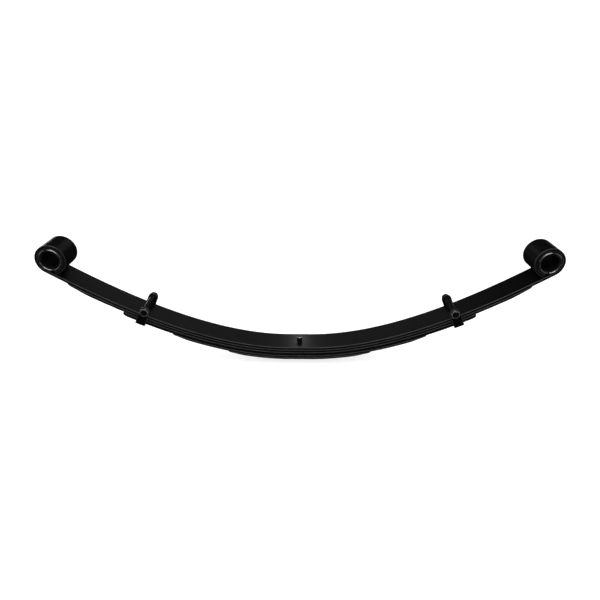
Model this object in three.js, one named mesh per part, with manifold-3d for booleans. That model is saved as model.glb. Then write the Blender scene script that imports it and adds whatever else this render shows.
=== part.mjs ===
import * as THREE from "three";
import { mergeVertices } from "three/addons/utils/BufferGeometryUtils.js";
import Module from "manifold-3d";

// A five-leaf suspension spring with upturned eyes, bushes and two bolted rebound clips.
// Millimetres. The origin is on the main leaf's top face, on the centre bolt's axis:
// +X runs along the spring, +Y points to the clip nuts and +Z is up.

const wasm = await Module();
wasm.setup();

// ---- Driving dimensions ----

const LEAF_WIDTH = 63.5;
const LEAF_GAP = 0.3; // between one leaf and the next
const MAIN_THICKNESS = 6.2;

// A leaf's reach is the station on the main leaf's top curve where it ends.
const LOWER_LEAVES = [
  { name: "second_leaf", thickness: 6.2, reach: 501, taper: 45, tip: 2.6 },
  { name: "third_leaf", thickness: 8.4, reach: 386, taper: 10, tip: 6.6, riveted: true },
  { name: "fourth_leaf", thickness: 5.0, reach: 281, taper: 36, tip: 2.0 },
  { name: "fifth_leaf", thickness: 4.6, reach: 159, taper: 36, tip: 2.0 },
];

// Camber of the free spring: flat over the seat, then a curve that opens slightly outwards.
const SEAT_HALF = 25;
const CAMBER_GAIN = 0.001018;
const CAMBER_FADE = 1211;
const STATION_STEP = 14;

// Eyes: the leaf's top side becomes the bore, and the wrap ends just over the leaf again.
const EYE_STATION = 542;
const EYE_BORE_RADIUS = 26.5;
const EYE_WRAP = THREE.MathUtils.degToRad(321);
const EYE_STEPS = 50;

// Bush: a rubber ring, a steel sleeve bonded in it, and a bearing liner in the sleeve.
const FIT = 0.3; // clearance between pieces that touch
const RUBBER = { outer: 26.2, inner: 24.2, half: 30.75, chamfer: 0.5 };
const SLEEVE = { outer: 23.9, inner: 21.4, half: 33.25, chamfer: 0.5 };
const LINER = { outer: 21.1, inner: 18.5, half: 32.6, chamfer: 0.7 };
const ROUND_STEPS = 36;

// Centre bolt: round head up, plain nut below.
const CENTRE_BOLT = { radius: 5, headRadius: 6, headHeight: 12, headChamfer: 1.2, end: 6 };
const CENTRE_NUT = { acrossFlats: 17, height: 9 };
const HOLE_CLEARANCE = 0.3;
const BOLT_END_CHAMFER = 1;

// Rebound clips: a strap under the third leaf, riveted to it, with a bolt through its ears.
const CLIP_STATION = 347.5;
const STRAP = { width: 22, thickness: 5, sideClearance: 0.6, outerBend: 6, innerBend: 1 };
const CLIP_BOLT = { radius: 5, axisHeight: 12, headHeight: 6.4, acrossFlats: 17, end: 4 };
const CLIP_NUT = { acrossFlats: 17, height: 8 };
const SPACER = { outer: 7, inner: 5.4 };
const RIVET = { radius: 4, headRadius: 8, headHeight: 4 };

// The rivet head's dome: shares of its radius and of its height, from the crown to the rim.
const RIVET_DOME = [
  [0, 1],
  [0.6, 0.85],
  [0.9, 0.5],
  [1, 0],
];

// ---- Finishes ----

const paint = { color: 0x17181a, roughness: 0.42, metalness: 0.1 };
const rubberFinish = { color: 0x0c0c0d, roughness: 0.8, metalness: 0 };
const steelFinish = { color: 0x9a9c9e, roughness: 0.35, metalness: 1 };
const linerFinish = { color: 0x111214, roughness: 0.6, metalness: 0 };
const boltFinish = { color: 0x1d1e20, roughness: 0.5, metalness: 0.4 };

// ---- Camber ----

function camber(station) {
  const run = Math.max(0, Math.abs(station) - SEAT_HALF);
  const opening = 1 + run / CAMBER_FADE;
  const height = (CAMBER_GAIN * run * run) / opening;
  const slope = (CAMBER_GAIN * run * (opening + 1)) / (opening * opening);
  return { height, angle: Math.sign(station) * Math.atan(slope) };
}

// The point at a depth square below the main leaf's top curve.
function below(station, depth) {
  const { height, angle } = camber(station);
  return new THREE.Vector2(
    station + depth * Math.sin(angle),
    height - depth * Math.cos(angle),
  );
}

function stations(from, to) {
  const steps = Math.ceil(Math.abs(to - from) / STATION_STEP);
  return Array.from({ length: steps + 1 }, (_, i) => from + ((to - from) * i) / steps);
}

// ---- Solids ----

function toSolid(geometry) {
  const bare = geometry.clone();
  bare.deleteAttribute("normal");
  bare.deleteAttribute("uv");
  const merged = mergeVertices(bare, 1e-4);
  const mesh = new wasm.Mesh({
    numProp: 3,
    vertProperties: merged.attributes.position.array,
    triVerts: new Uint32Array(merged.index.array),
  });
  return new wasm.Manifold(mesh);
}

function toGeometry(solid) {
  const { vertProperties, triVerts } = solid.getMesh();
  const geometry = new THREE.BufferGeometry();
  geometry.setAttribute("position", new THREE.BufferAttribute(vertProperties, 3));
  geometry.setIndex(new THREE.BufferAttribute(triVerts, 1));
  geometry.computeVertexNormals();
  return geometry;
}

function cut(geometry, ...tools) {
  return toGeometry(tools.reduce((left, tool) => left.subtract(toSolid(tool)), toSolid(geometry)));
}

// An outline drawn in X and Z, extruded across Y and centred on the spring.
function acrossY(shape, width) {
  const geometry = new THREE.ExtrudeGeometry(shape, {
    depth: width,
    bevelEnabled: false,
    curveSegments: 12,
  });
  return geometry.rotateX(Math.PI / 2).translate(0, width / 2, 0);
}

// An outline drawn in Y and Z, extruded along X and centred.
function alongX(shape, length) {
  const geometry = new THREE.ExtrudeGeometry(shape, {
    depth: length,
    bevelEnabled: false,
    curveSegments: 8,
  });
  const turn = new THREE.Matrix4().makeBasis(
    new THREE.Vector3(0, 1, 0),
    new THREE.Vector3(0, 0, 1),
    new THREE.Vector3(1, 0, 0),
  );
  return geometry.applyMatrix4(turn).translate(-length / 2, 0, 0);
}

// Pairs of radius and height, turned about the Y axis.
function turned(profile) {
  const points = profile.map(([radius, height]) => new THREE.Vector2(radius, height));
  return new THREE.LatheGeometry(points, ROUND_STEPS);
}

function ring({ outer, inner, half, chamfer = 0 }) {
  const flat = half - chamfer;
  return turned([
    [inner, -flat],
    [inner + chamfer, -half],
    [outer - chamfer, -half],
    [outer, -flat],
    [outer, flat],
    [outer - chamfer, half],
    [inner + chamfer, half],
    [inner, flat],
    [inner, -flat],
  ]);
}

// A cutting cylinder along Y, long enough to go right through any piece.
function drill(radius) {
  return new THREE.CylinderGeometry(radius, radius, 4 * LEAF_WIDTH, ROUND_STEPS / 2);
}

function hexagon(acrossFlats, height) {
  const corner = acrossFlats / Math.sqrt(3);
  return new THREE.CylinderGeometry(corner, corner, height, 6);
}

const upright = (geometry) => geometry.rotateX(Math.PI / 2);

// ---- Assembly ----

const spring = new THREE.Group();

function addPiece(parent, name, geometry, finish) {
  const mesh = new THREE.Mesh(geometry, new THREE.MeshStandardMaterial(finish));
  mesh.name = name;
  parent.add(mesh);
  return mesh;
}

const sides = [
  { label: "left", sign: -1 },
  { label: "right", sign: 1 },
];

// Every clip part is drawn in the leaf's own frame at the clip: X along the leaf, Z square to it.
const clipFrames = sides.map(({ sign }) => {
  const frame = new THREE.Group();
  const { height, angle } = camber(sign * CLIP_STATION);
  frame.position.set(sign * CLIP_STATION, 0, height);
  frame.rotation.y = -angle;
  frame.updateMatrix();
  return frame;
});

const thirdDepth =
  MAIN_THICKNESS + LOWER_LEAVES[0].thickness + LOWER_LEAVES[1].thickness + 2 * LEAF_GAP;
const packDepth =
  MAIN_THICKNESS + LOWER_LEAVES.reduce((sum, leaf) => sum + leaf.thickness + LEAF_GAP, 0);
const strapInside = -thirdDepth - FIT;
const strapUnderside = strapInside - STRAP.thickness;

const centreDrill = () => upright(drill(CENTRE_BOLT.radius + HOLE_CLEARANCE));
const rivetDrill = () => upright(drill(RIVET.radius + HOLE_CLEARANCE));
const clipBoltDrill = () => drill(CLIP_BOLT.radius + HOLE_CLEARANCE);

// ---- Main leaf ----

const tangent = camber(EYE_STATION);
const eyeCentre = below(EYE_STATION, -EYE_BORE_RADIUS);
const wrapStart = tangent.angle - Math.PI / 2;

function eyeArc(radius) {
  return Array.from({ length: EYE_STEPS + 1 }, (_, i) => {
    const angle = wrapStart + (EYE_WRAP * i) / EYE_STEPS;
    return new THREE.Vector2(
      eyeCentre.x + radius * Math.cos(angle),
      eyeCentre.y + radius * Math.sin(angle),
    );
  });
}

function mainLeafShape() {
  const half = [
    ...stations(0, EYE_STATION).map((x) => below(x, MAIN_THICKNESS)),
    ...eyeArc(EYE_BORE_RADIUS + MAIN_THICKNESS).slice(1),
    ...eyeArc(EYE_BORE_RADIUS).reverse(),
    ...stations(EYE_STATION, 0).slice(1).map((x) => below(x, 0)),
  ];
  const mirrored = half
    .slice(1, -1)
    .reverse()
    .map((point) => new THREE.Vector2(-point.x, point.y));
  return new THREE.Shape([...half, ...mirrored]);
}

addPiece(
  spring,
  "main_leaf",
  cut(acrossY(mainLeafShape(), LEAF_WIDTH), centreDrill()),
  paint,
);

// ---- Lower leaves ----

function lowerLeafShape({ thickness, reach, taper, tip }, depth) {
  const thicknessAt = (x) => {
    const intoTaper = Math.max(0, (Math.abs(x) - (reach - taper)) / taper);
    return thickness - (thickness - tip) * intoTaper;
  };
  const run = [
    ...stations(-reach, -(reach - taper)),
    ...stations(-(reach - taper), reach - taper).slice(1),
    ...stations(reach - taper, reach).slice(1),
  ];
  return new THREE.Shape([
    ...run.map((x) => below(x, depth + thicknessAt(x))),
    ...run.reverse().map((x) => below(x, depth)),
  ]);
}

let leafDepth = MAIN_THICKNESS + LEAF_GAP;
for (const leaf of LOWER_LEAVES) {
  const rivetDrills = leaf.riveted
    ? clipFrames.map((frame) => rivetDrill().applyMatrix4(frame.matrix))
    : [];
  const blank = acrossY(lowerLeafShape(leaf, leafDepth), LEAF_WIDTH);
  addPiece(spring, leaf.name, cut(blank, centreDrill(), ...rivetDrills), paint);
  leafDepth += leaf.thickness + LEAF_GAP;
}

// ---- Centre bolt and nut ----

const { radius: boltRadius, headRadius, headHeight, headChamfer } = CENTRE_BOLT;
const boltBottom = -packDepth - FIT - CENTRE_NUT.height - CENTRE_BOLT.end;
const centreBolt = turned([
  [0, boltBottom],
  [boltRadius - BOLT_END_CHAMFER, boltBottom],
  [boltRadius, boltBottom + BOLT_END_CHAMFER],
  [boltRadius, FIT],
  [headRadius, FIT],
  [headRadius, headHeight - headChamfer],
  [headRadius - headChamfer, headHeight],
  [0, headHeight],
]);
addPiece(spring, "centre_bolt", upright(centreBolt), boltFinish);

const centreNut = cut(
  hexagon(CENTRE_NUT.acrossFlats, CENTRE_NUT.height),
  drill(boltRadius + HOLE_CLEARANCE),
);
const nutMesh = addPiece(spring, "centre_nut", upright(centreNut), boltFinish);
nutMesh.position.z = -packDepth - FIT - CENTRE_NUT.height / 2;

// ---- Bushes ----

for (const { label, sign } of sides) {
  const eye = new THREE.Group();
  eye.position.set(sign * eyeCentre.x, 0, eyeCentre.y);
  addPiece(eye, `${label}_bush_rubber`, ring(RUBBER), rubberFinish);
  addPiece(eye, `${label}_bush_sleeve`, ring(SLEEVE), steelFinish);
  addPiece(eye, `${label}_bush_liner`, ring(LINER), linerFinish);
  spring.add(eye);
}

// ---- Rebound clips ----

const insideHalf = LEAF_WIDTH / 2 + STRAP.sideClearance;
const outsideHalf = insideHalf + STRAP.thickness;

function strapShape() {
  const top = CLIP_BOLT.axisHeight + STRAP.width;
  const { outerBend, innerBend } = STRAP;
  const shape = new THREE.Shape();
  shape.moveTo(-outsideHalf, top);
  shape.lineTo(-outsideHalf, strapUnderside + outerBend);
  shape.absarc(
    -outsideHalf + outerBend, strapUnderside + outerBend, outerBend, Math.PI, 1.5 * Math.PI, false,
  );
  shape.absarc(
    outsideHalf - outerBend, strapUnderside + outerBend, outerBend, 1.5 * Math.PI, 2 * Math.PI, false,
  );
  shape.lineTo(outsideHalf, top);
  shape.lineTo(insideHalf, top);
  shape.absarc(
    insideHalf - innerBend, strapInside + innerBend, innerBend, 0, -0.5 * Math.PI, true,
  );
  shape.absarc(
    -insideHalf + innerBend, strapInside + innerBend, innerBend, -0.5 * Math.PI, -Math.PI, true,
  );
  shape.lineTo(-insideHalf, top);
  return shape;
}

// The strap seen along Y: straight sides, and ears with round tops about the bolt.
function earShape() {
  const half = STRAP.width / 2;
  const shape = new THREE.Shape();
  shape.moveTo(-half, 2 * strapUnderside);
  shape.lineTo(half, 2 * strapUnderside);
  shape.lineTo(half, CLIP_BOLT.axisHeight);
  shape.absarc(0, CLIP_BOLT.axisHeight, half, 0, Math.PI, false);
  return shape;
}

function clipStrap() {
  const bent = toSolid(alongX(strapShape(), STRAP.width + 1));
  const outline = toSolid(acrossY(earShape(), 4 * LEAF_WIDTH));
  const pierced = bent
    .intersect(outline)
    .subtract(toSolid(clipBoltDrill().translate(0, 0, CLIP_BOLT.axisHeight)))
    .subtract(toSolid(rivetDrill()));
  return toGeometry(pierced);
}

function clipBolt() {
  const { radius, end, acrossFlats } = CLIP_BOLT;
  const headFace = -outsideHalf - FIT;
  const tail = outsideHalf + FIT + CLIP_NUT.height + end;
  const headMiddle = headFace - CLIP_BOLT.headHeight / 2;
  const shank = turned([
    [0, headMiddle],
    [radius, headMiddle],
    [radius, tail - BOLT_END_CHAMFER],
    [radius - BOLT_END_CHAMFER, tail],
    [0, tail],
  ]);
  const head = hexagon(acrossFlats, CLIP_BOLT.headHeight).translate(0, headMiddle, 0);
  return toGeometry(toSolid(shank).add(toSolid(head)));
}

function clipNut() {
  const blank = hexagon(CLIP_NUT.acrossFlats, CLIP_NUT.height);
  return cut(blank, clipBoltDrill());
}

function clipRivet() {
  const leafTop = -(MAIN_THICKNESS + LOWER_LEAVES[0].thickness + 2 * LEAF_GAP);
  const headTop = strapUnderside - FIT;
  const dome = RIVET_DOME.map(([across, up]) => [
    RIVET.headRadius * across,
    headTop - RIVET.headHeight * up,
  ]);
  const shank = [
    [RIVET.radius, headTop],
    [RIVET.radius, leafTop - FIT],
    [0, leafTop - FIT],
  ];
  return upright(turned([...dome, ...shank]));
}

sides.forEach(({ label }, index) => {
  const frame = clipFrames[index];
  addPiece(frame, `${label}_clip_strap`, clipStrap(), paint);
  addPiece(frame, `${label}_clip_bolt`, clipBolt(), boltFinish).position.z = CLIP_BOLT.axisHeight;
  addPiece(frame, `${label}_clip_rivet`, clipRivet(), boltFinish);

  const nut = addPiece(frame, `${label}_clip_nut`, clipNut(), boltFinish);
  nut.position.set(0, outsideHalf + FIT + CLIP_NUT.height / 2, CLIP_BOLT.axisHeight);

  const tube = ring({ ...SPACER, half: insideHalf - FIT });
  addPiece(frame, `${label}_clip_spacer`, tube, paint).position.z = CLIP_BOLT.axisHeight;
  spring.add(frame);
});

export default spring;
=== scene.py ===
"""Looks of a five-leaf suspension spring: painted leaves, bushed eyes, centre bolt and clips.

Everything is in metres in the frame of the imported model: the origin is on the main leaf's top face,
on the centre bolt's axis, +X runs along the spring, +Y points to the clip nuts and +Z is up.
"""

import logging
import math
from dataclasses import dataclass
from enum import Enum
from functools import cached_property
from typing import Any, Callable, Mapping, Sequence, Union

import bmesh
import bpy
from mathutils import Matrix, Vector


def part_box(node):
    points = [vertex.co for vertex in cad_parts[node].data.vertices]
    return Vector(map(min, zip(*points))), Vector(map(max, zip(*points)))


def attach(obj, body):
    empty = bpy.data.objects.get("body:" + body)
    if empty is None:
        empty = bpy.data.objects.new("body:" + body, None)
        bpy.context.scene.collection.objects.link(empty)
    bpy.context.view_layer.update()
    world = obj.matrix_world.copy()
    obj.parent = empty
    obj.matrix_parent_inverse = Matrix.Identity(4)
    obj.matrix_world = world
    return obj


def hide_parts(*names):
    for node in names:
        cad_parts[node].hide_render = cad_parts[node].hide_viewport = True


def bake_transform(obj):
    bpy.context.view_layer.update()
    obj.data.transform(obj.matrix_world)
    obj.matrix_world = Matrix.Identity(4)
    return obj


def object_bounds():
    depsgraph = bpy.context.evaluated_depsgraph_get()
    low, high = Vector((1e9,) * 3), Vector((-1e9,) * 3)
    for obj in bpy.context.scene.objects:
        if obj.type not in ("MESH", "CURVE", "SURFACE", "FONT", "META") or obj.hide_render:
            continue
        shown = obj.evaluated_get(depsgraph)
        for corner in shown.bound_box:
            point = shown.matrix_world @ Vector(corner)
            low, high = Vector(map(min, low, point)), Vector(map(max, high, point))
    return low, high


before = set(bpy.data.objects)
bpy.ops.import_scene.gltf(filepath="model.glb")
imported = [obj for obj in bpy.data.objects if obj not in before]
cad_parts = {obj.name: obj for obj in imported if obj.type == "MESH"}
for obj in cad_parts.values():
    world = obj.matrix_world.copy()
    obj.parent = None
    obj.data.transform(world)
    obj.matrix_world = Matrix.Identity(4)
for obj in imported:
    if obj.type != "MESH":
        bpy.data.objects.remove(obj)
CAD_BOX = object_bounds()

log = logging.getLogger("leaf_spring")

MM = 0.001
GRAIN = "grain"  # attribute: where a point lies on the stock before it is bent, in metres
EDGE_WEAR_AND_HIGHLIGHT = "edge_wear_and_highlight"  # attribute: 1 on a rounded edge, 0 on an open face; on paint it places the worn edge colour and its painted highlight, on metal and rubber worn corners

Colour = tuple[float, float, float]
Point2 = tuple[float, float]
Amount = Union["Wire", float]
Row = Callable[[float], Point2]  # angle to (radius, height along the axis)


class Side(Enum):
    """The two ends of the spring, with the sign of their X."""

    LEFT = -1
    RIGHT = 1

    @property
    def label(self) -> str:
        """The word that begins this side's node and body names."""
        return self.name.lower()

    @property
    def arm(self) -> str:
        """The body that swings with this end of the pack."""
        return f"{self.label}_arm"

    @property
    def core(self) -> str:
        """The body that turns in this end's bush."""
        return f"{self.label}_bush_core"


ROOT_BODY = "leaf_pack"
CLIP_STATION = 347.5 * MM  # where the clips sit, and their rivets' holes
HEX_STEPS = 120  # points round a hexagon
QUARTER_TURN = Matrix.Rotation(math.pi / 2, 4, "X")  # takes a turning's Z to -Y


# ---------------------------------------------------------------- shader nodes


class Wire:
    """An output socket that can stand in arithmetic; each operation adds a Math node."""

    def __init__(self, bench: "Bench", socket: bpy.types.NodeSocket) -> None:
        """Wraps one output socket of a bench's node tree."""
        self.bench = bench
        self.socket = socket

    def _math(self, operation: str, first: Amount, second: Amount) -> "Wire":
        """Adds one Math node.

        Args:
            operation: The node's operation.
            first: Its first value or link.
            second: Its second value or link.

        Returns:
            The node's result.
        """
        return self.bench.node("ShaderNodeMath", {"operation": operation}, {0: first, 1: second})

    def __add__(self, other: Amount) -> "Wire":
        """This plus another."""
        return self._math("ADD", self, other)

    def __sub__(self, other: Amount) -> "Wire":
        """This minus another."""
        return self._math("SUBTRACT", self, other)

    def __rsub__(self, other: Amount) -> "Wire":
        """Another minus this."""
        return self._math("SUBTRACT", other, self)

    def __mul__(self, other: Amount) -> "Wire":
        """This times another."""
        return self._math("MULTIPLY", self, other)

    def __pow__(self, other: Amount) -> "Wire":
        """This to the power of another."""
        return self._math("POWER", self, other)

    __radd__ = __add__
    __rmul__ = __mul__


class Bench:
    """Lays out the nodes of one material or of the world."""

    def __init__(self, tree: bpy.types.NodeTree) -> None:
        """Takes a node tree and clears it."""
        self.tree = tree
        tree.nodes.clear()

    def node(
        self,
        kind: str,
        settings: Mapping[str, Any] | None = None,
        sockets: Mapping[int | str, Any] | None = None,
        output: int | str = 0,
    ) -> Wire:
        """Adds any node.

        Args:
            kind: The node's type.
            settings: Its settings, set first; "stops" holds a ramp's (place, grey) pairs.
            sockets: Values or links of its inputs, by index or name.
            output: Which output the result wraps.

        Returns:
            The wanted output, or the first input of a node that has no output.
            The wanted output.
        """
        made = self.tree.nodes.new(kind)
        for name, value in (settings or {}).items():
            if name == "stops":
                self._set_stops(made.color_ramp, value)
            else:
                setattr(made, name, value)
        for key, value in (sockets or {}).items():
            if isinstance(value, Wire):
                self.tree.links.new(value.socket, made.inputs[key])
            else:
                made.inputs[key].default_value = value
        return Wire(self, made.outputs[output] if made.outputs else made.inputs[0])

    @staticmethod
    def _set_stops(ramp: bpy.types.ColorRamp, stops: Sequence[tuple[float, float]]) -> None:
        """Gives a ramp its stops, from pairs of place and grey level.

        Args:
            ramp: The ramp.
            stops: The pairs.
        """
        while len(ramp.elements) < len(stops):
            ramp.elements.new(1.0)
        for element, (place, grey) in zip(ramp.elements, stops):
            element.position = place
            element.color = (grey, grey, grey, 1.0)

    def grain(self, scale: tuple[float, float, float]) -> Wire:
        """The stock coordinates, scaled.

        Args:
            scale: How many noise cells fit in a metre along each axis.

        Returns:
            A vector for a texture.
        """
        stock = self.node("ShaderNodeAttribute", {"attribute_name": GRAIN}, output="Vector")
        return self.node(
            "ShaderNodeVectorMath", {"operation": "MULTIPLY"}, {0: stock, 1: scale}, "Vector"
        )

    def edge_wear_and_highlight(self) -> Wire:
        """How close a point is to a rounded edge: worn corners, and on paint a painted edge highlight
        too.
        """
        return self.node("ShaderNodeAttribute", {"attribute_name": EDGE_WEAR_AND_HIGHLIGHT}, output="Fac")

    def noise(self, vector: Wire, detail: float = 2.0, roughness: float = 0.5) -> Wire:
        """Smooth noise from 0 to 1 over a scaled vector."""
        sockets = {"Vector": vector, "Scale": 1.0, "Detail": detail, "Roughness": roughness}
        return self.node("ShaderNodeTexNoise", {}, sockets)

    def ramp(self, value: Wire, *stops: tuple[float, float]) -> Wire:
        """A grey ramp of a value."""
        return self.node("ShaderNodeValToRGB", {"stops": stops}, {0: value})

    def blend_colour(self, factor: Amount, first: Any, second: Any) -> Wire:
        """Mixes two colours or colour links by a factor.

        Args:
            factor: How much of the second colour shows, from 0 to 1.
            first: The colour at 0.
            second: The colour at 1.

        Returns:
            The mixed colour.
        """
        return self.node(
            "ShaderNodeMix",
            {"data_type": "RGBA", "clamp_factor": True},
            {0: factor, 6: first, 7: second},
            output=2,
        )

    def varied(self, factor: Amount, colour: Colour, darkest: float, lightest: float) -> Wire:
        """A colour that varies by a factor, between two gains."""
        low, high = (rgba(shade(colour, gain)) for gain in (darkest, lightest))
        return self.blend_colour(factor, low, high)

    def bump(self, height: Wire, strength: float, distance: float) -> Wire:
        """A surface normal from a height.

        Args:
            height: The height, about 0 to 1.
            strength: The Bump node's strength.
            distance: The height's size in metres.

        Returns:
            The bent normal.
        """
        sockets = {"Strength": strength, "Distance": distance, "Height": height}
        return self.node("ShaderNodeBump", {}, sockets)

    def surface(self, sockets: Mapping[int | str, Any]) -> None:
        """Ends a material with one principled shader with these sockets."""
        shader = self.node("ShaderNodeBsdfPrincipled", {}, sockets)
        self.node("ShaderNodeOutputMaterial", {"target": "ALL"}, {"Surface": shader})


def rgba(colour: Colour) -> tuple[float, float, float, float]:
    """A colour with full alpha."""
    return (*colour, 1.0)


def shade(colour: Colour, gain: float) -> Colour:
    """A colour made lighter or darker by a gain."""
    return tuple(channel * gain for channel in colour)


# ---------------------------------------------------------------- finishes


class Finish:
    """A finish: a set of frozen values, whose subclass lays the shader nodes."""

    name: str

    def lay(self, bench: Bench) -> None:
        """Lays the finish's nodes on an empty bench."""
        raise NotImplementedError

    def material(self) -> bpy.types.Material:
        """Builds the node material.

        Returns:
            The new material.
        """
        made = bpy.data.materials.new(self.name)
        made.use_nodes = True
        self.lay(Bench(made.node_tree))
        return made


@dataclass(frozen=True)
class Paint(Finish):
    """Thin black paint over rolled or bent steel, with peel, rolling lines, pits, and worn edges
    lightened into a painted highlight.

    Args:
        name: The material's name.
        colour: The paint's own colour.
        rubbed_and_highlit: The colour of worn edges, light enough to be a painted edge highlight as
            well.
        dust: The colour of dried dust.
        roughness: Mean roughness.
        specular: The clear film's specular level.
        peel: Depth of the paint's peel in metres.
        rub: How strongly the worn edge colour and its painted highlight show, from 0 to 1.
    """

    name: str
    colour: Colour = (0.0011, 0.0011, 0.00115)
    rubbed_and_highlit: Colour = (0.075, 0.075, 0.077)
    dust: Colour = (0.012, 0.0115, 0.011)
    roughness: float = 0.33
    specular: float = 0.5
    peel: float = 0.06 * MM
    rub: float = 0.5

    def lay(self, bench: Bench) -> None:
        """Lays the nodes of the paint film, its dust, and its worn edges with their painted
        highlight.

        Args:
            bench: The empty bench.
        """
        cloud = bench.noise(bench.grain((9.0, 28.0, 28.0)), detail=4.0, roughness=0.6)
        rolling = bench.noise(bench.grain((14.0, 620.0, 620.0)), detail=3.0)
        peel = bench.noise(bench.grain((640.0, 640.0, 640.0)))
        specks = bench.noise(bench.grain((1500.0, 1500.0, 1500.0)), detail=1.0)
        dust = bench.ramp(specks, (0.66, 0.0), (0.78, 1.0))
        dust = dust * bench.ramp(cloud, (0.45, 0.0), (0.7, 1.0))
        pits = bench.ramp(
            bench.node(
                "ShaderNodeTexVoronoi",
                {"feature": "F1"},
                {"Vector": bench.grain((170.0, 210.0, 210.0)), "Scale": 1.0},
            ),
            (0.06, 0.0),
            (0.24, 1.0),
        )
        broken = bench.ramp(
            bench.noise(bench.grain((60.0, 240.0, 240.0)), detail=5.0, roughness=0.7),
            (0.36, 0.0),
            (0.62, 1.0),
        )
        # worn edge colour that is also a painted highlight along every rounded edge
        edge = bench.edge_wear_and_highlight() * (0.25 + broken * 0.75) * self.rub
        body = bench.varied(cloud, self.colour, 0.7, 1.35)
        dusty = bench.blend_colour(dust * 0.35, body, rgba(self.dust))
        colour = bench.blend_colour(edge, dusty, rgba(self.rubbed_and_highlit))
        roughness = self.roughness + (cloud - 0.5) * 0.16 + (rolling - 0.5) * 0.10
        roughness = roughness + dust * 0.15 - edge * 0.10
        height = peel * 0.6 + rolling * 0.35 + pits * 0.5
        bench.surface(
            {
                "Base Color": colour,
                "Roughness": roughness,
                "Specular IOR Level": self.specular,
                "Metallic": edge * 0.35,
                "Normal": bench.bump(height, 0.55, self.peel),
            }
        )


@dataclass(frozen=True)
class TurnedMetal(Finish):
    """Bare or thinly blacked steel with the cutting tool's rings round its axis.

    Args:
        name: The material's name.
        colour: The metal's colour.
        worn: The colour of worn corners.
        roughness: Mean roughness.
        metallic: How metallic the surface is.
        ring_depth: Depth of the tool rings in metres.
    """

    name: str
    colour: Colour = (0.62, 0.62, 0.63)
    worn: Colour = (0.75, 0.75, 0.76)
    roughness: float = 0.28
    metallic: float = 1.0
    ring_depth: float = 0.03 * MM

    def lay(self, bench: Bench) -> None:
        """Lays the nodes of the tool rings, stains, spots and worn corners.

        Args:
            bench: The empty bench.
        """
        stock = bench.grain((1.0, 1.0, 1.0))
        parts = [bench.node("ShaderNodeSeparateXYZ", {}, {0: stock}, axis) for axis in "XYZ"]
        across = (parts[0] * parts[0] + parts[1] * parts[1]) ** 0.5
        rings = bench.noise(
            bench.node("ShaderNodeCombineXYZ", {}, {0: across * 5200.0, 1: parts[2] * 5200.0})
        )
        stain = bench.noise(bench.grain((55.0, 55.0, 55.0)), detail=5.0, roughness=0.62)
        spots = bench.ramp(
            bench.noise(bench.grain((380.0, 380.0, 380.0)), detail=3.0), (0.60, 0.0), (0.72, 1.0)
        )
        edge = bench.edge_wear_and_highlight() * (0.4 + stain * 0.6)
        body = bench.varied(stain, self.colour, 0.72, 1.12)
        spotted = bench.blend_colour(spots * 0.45, body, rgba(shade(self.colour, 0.45)))
        colour = bench.blend_colour(edge, spotted, rgba(self.worn))
        roughness = self.roughness + (rings - 0.5) * 0.14 + (stain - 0.5) * 0.16 + spots * 0.1
        bench.surface(
            {
                "Base Color": colour,
                "Roughness": roughness,
                "Metallic": self.metallic - spots * 0.25,
                "Normal": bench.bump(rings * 0.7 + stain * 0.3, 0.5, self.ring_depth),
            }
        )


@dataclass(frozen=True)
class Moulded(Finish):
    """Rubber or polymer from a mould: fine grain, faint bloom and scuffed rims.

    Args:
        name: The material's name.
        colour: The compound's colour.
        bloom: The colour of the faint bloom and scuffs.
        roughness: Mean roughness.
        specular: Specular level.
        grain_depth: Depth of the mould grain in metres.
    """

    name: str
    colour: Colour = (0.006, 0.006, 0.0062)
    bloom: Colour = (0.03, 0.03, 0.031)
    roughness: float = 0.72
    specular: float = 0.3
    grain_depth: float = 0.12 * MM

    def lay(self, bench: Bench) -> None:
        """Lays the nodes of the mould grain, bloom and scuffs.

        Args:
            bench: The empty bench.
        """
        cloud = bench.noise(bench.grain((70.0, 70.0, 70.0)), detail=4.0, roughness=0.6)
        fine = bench.noise(bench.grain((1300.0, 1300.0, 1300.0)), detail=3.0, roughness=0.6)
        bloom = bench.ramp(cloud, (0.48, 0.0), (0.74, 1.0)) * 0.4
        scuff = bench.edge_wear_and_highlight() * (0.15 + fine * 0.5)
        body = bench.varied(fine, self.colour, 0.75, 1.3)
        bloomed = bench.blend_colour(bloom * 0.5, body, rgba(shade(self.bloom, 0.6)))
        bench.surface(
            {
                "Base Color": bench.blend_colour(scuff * 0.5, bloomed, rgba(self.bloom)),
                "Roughness": self.roughness + (fine - 0.5) * 0.14 + bloom * 0.1,
                "Specular IOR Level": self.specular,
                "Normal": bench.bump(fine * 0.8 + cloud * 0.2, 0.6, self.grain_depth),
            }
        )


@dataclass(frozen=True)
class Plaster(Finish):
    """The studio floor: pale, matt and almost even.

    Args:
        name: The material's name.
        colour: The floor's colour.
        glow: How brightly the floor is lit from below.
    """

    name: str = "pale_floor"
    colour: Colour = (0.40, 0.40, 0.40)
    glow: float = 0.75

    def lay(self, bench: Bench) -> None:
        """Lays the nodes of a faintly clouded, faintly glowing floor.

        Args:
            bench: The empty bench.
        """
        cloud = bench.noise(bench.node("ShaderNodeTexCoord", output="Object"))
        bench.surface(
            {
                "Base Color": bench.varied(cloud, self.colour, 0.985, 1.0),
                "Roughness": 0.85 + (cloud - 0.5) * 0.1,
                "Specular IOR Level": 0.1,
                "Emission Color": rgba((1.0, 1.0, 1.0)),
                "Emission Strength": self.glow,
            }
        )


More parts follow.
